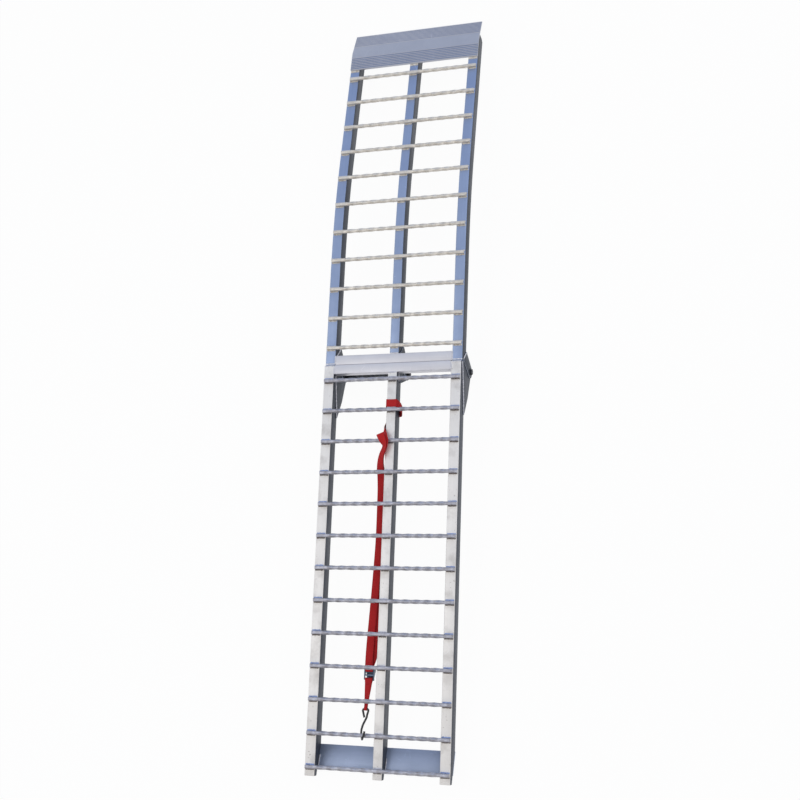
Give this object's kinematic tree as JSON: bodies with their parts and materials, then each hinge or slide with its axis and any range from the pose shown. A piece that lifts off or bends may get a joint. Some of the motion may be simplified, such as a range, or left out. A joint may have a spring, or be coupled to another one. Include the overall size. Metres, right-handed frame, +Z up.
{
  "type": "folding arched loading ramp",
  "caption": "Folding arched loading ramp: hinged ladder sections of tube and twisted rungs, with a ribbed bent lip, a foot plate and a cam-buckle tie strap with a hook.",
  "frame": {"origin": "centre of the bounding box at floor level, the ramp unfolded and standing on its foot plate's heel and the upper stringers' heels", "axes": "+X across the ramp to the right as seen from the foot, +Y along it from the foot to the lip, +Z up"},
  "size_m": [0.4722, 2.5284, 0.1379],
  "materials": {
    "stringer": "mill finish, cool grey with a soft sheen",
    "rung": "satin, slightly rough",
    "hinge_beam": "mill finish, light",
    "lip": "ribbed, mill finish",
    "foot": "mill finish",
    "hinge_plate": "mill finish",
    "plated_steel": "dull plated",
    "webbing": "woven, matt",
    "buckle_frame": "dull zinc plated",
    "buckle_lever": "dull zinc plated",
    "hook": "dipped, semi-gloss"
  },
  "bodies": {
    "lower_section": {"lower_stringer_left": "stringer", "lower_stringer_centre": "stringer", "lower_stringer_right": "stringer", "lower_rung_01": "rung", "lower_rung_02": "rung", "lower_rung_03": "rung", "lower_rung_04": "rung", "lower_rung_05": "rung", "lower_rung_06": "rung", "lower_rung_07": "rung", "lower_rung_08": "rung", "lower_rung_09": "rung", "lower_rung_10": "rung", "lower_rung_11": "rung", "lower_rung_12": "rung", "lower_rung_13": "rung", "lower_hinge_beam": "hinge_beam", "foot_plate": "foot", "lower_hinge_plate_left": "hinge_plate", "lower_hinge_plate_centre": "hinge_plate", "lower_hinge_plate_right": "hinge_plate", "pivot_rod": "plated_steel", "pivot_nut_left": "plated_steel", "pivot_nut_centre": "plated_steel", "pivot_spacer": "plated_steel", "hinge_bolt_right": "plated_steel", "hinge_nut_right": "plated_steel", "cam_lever_pin": "plated_steel", "strap_loop": "webbing", "strap_webbing": "webbing", "hook_webbing": "webbing", "cam_buckle_frame": "buckle_frame", "s_hook": "hook"},
    "upper_section": {"upper_stringer_left": "stringer", "upper_stringer_centre": "stringer", "upper_stringer_right": "stringer", "upper_rung_01": "rung", "upper_rung_02": "rung", "upper_rung_03": "rung", "upper_rung_04": "rung", "upper_rung_05": "rung", "upper_rung_06": "rung", "upper_rung_07": "rung", "upper_rung_08": "rung", "upper_rung_09": "rung", "upper_rung_10": "rung", "upper_rung_11": "rung", "upper_hinge_beam": "hinge_beam", "lip_plate": "lip", "upper_hinge_plate_left": "hinge_plate", "upper_hinge_plate_centre": "hinge_plate", "upper_hinge_plate_right": "hinge_plate"},
    "cam_lever": {"cam_buckle_lever": "buckle_lever"}
  },
  "joints": [
    {"name": "fold_hinge", "type": "hinge", "parent": "lower_section", "child": "upper_section", "pos_m": [-0.00335, 0.00062, 0.02], "axis": [-1, 0, 0], "range_deg": [0, 177]},
    {"name": "cam_lever_hinge", "type": "hinge", "parent": "lower_section", "child": "cam_lever", "pos_m": [-0.05165, -0.94568, 0.02594], "axis": [1, 0, 0], "range_deg": [0, 60], "stiffness_Nm_per_rad": 0.05, "springref_deg": -17.19}
  ]
}
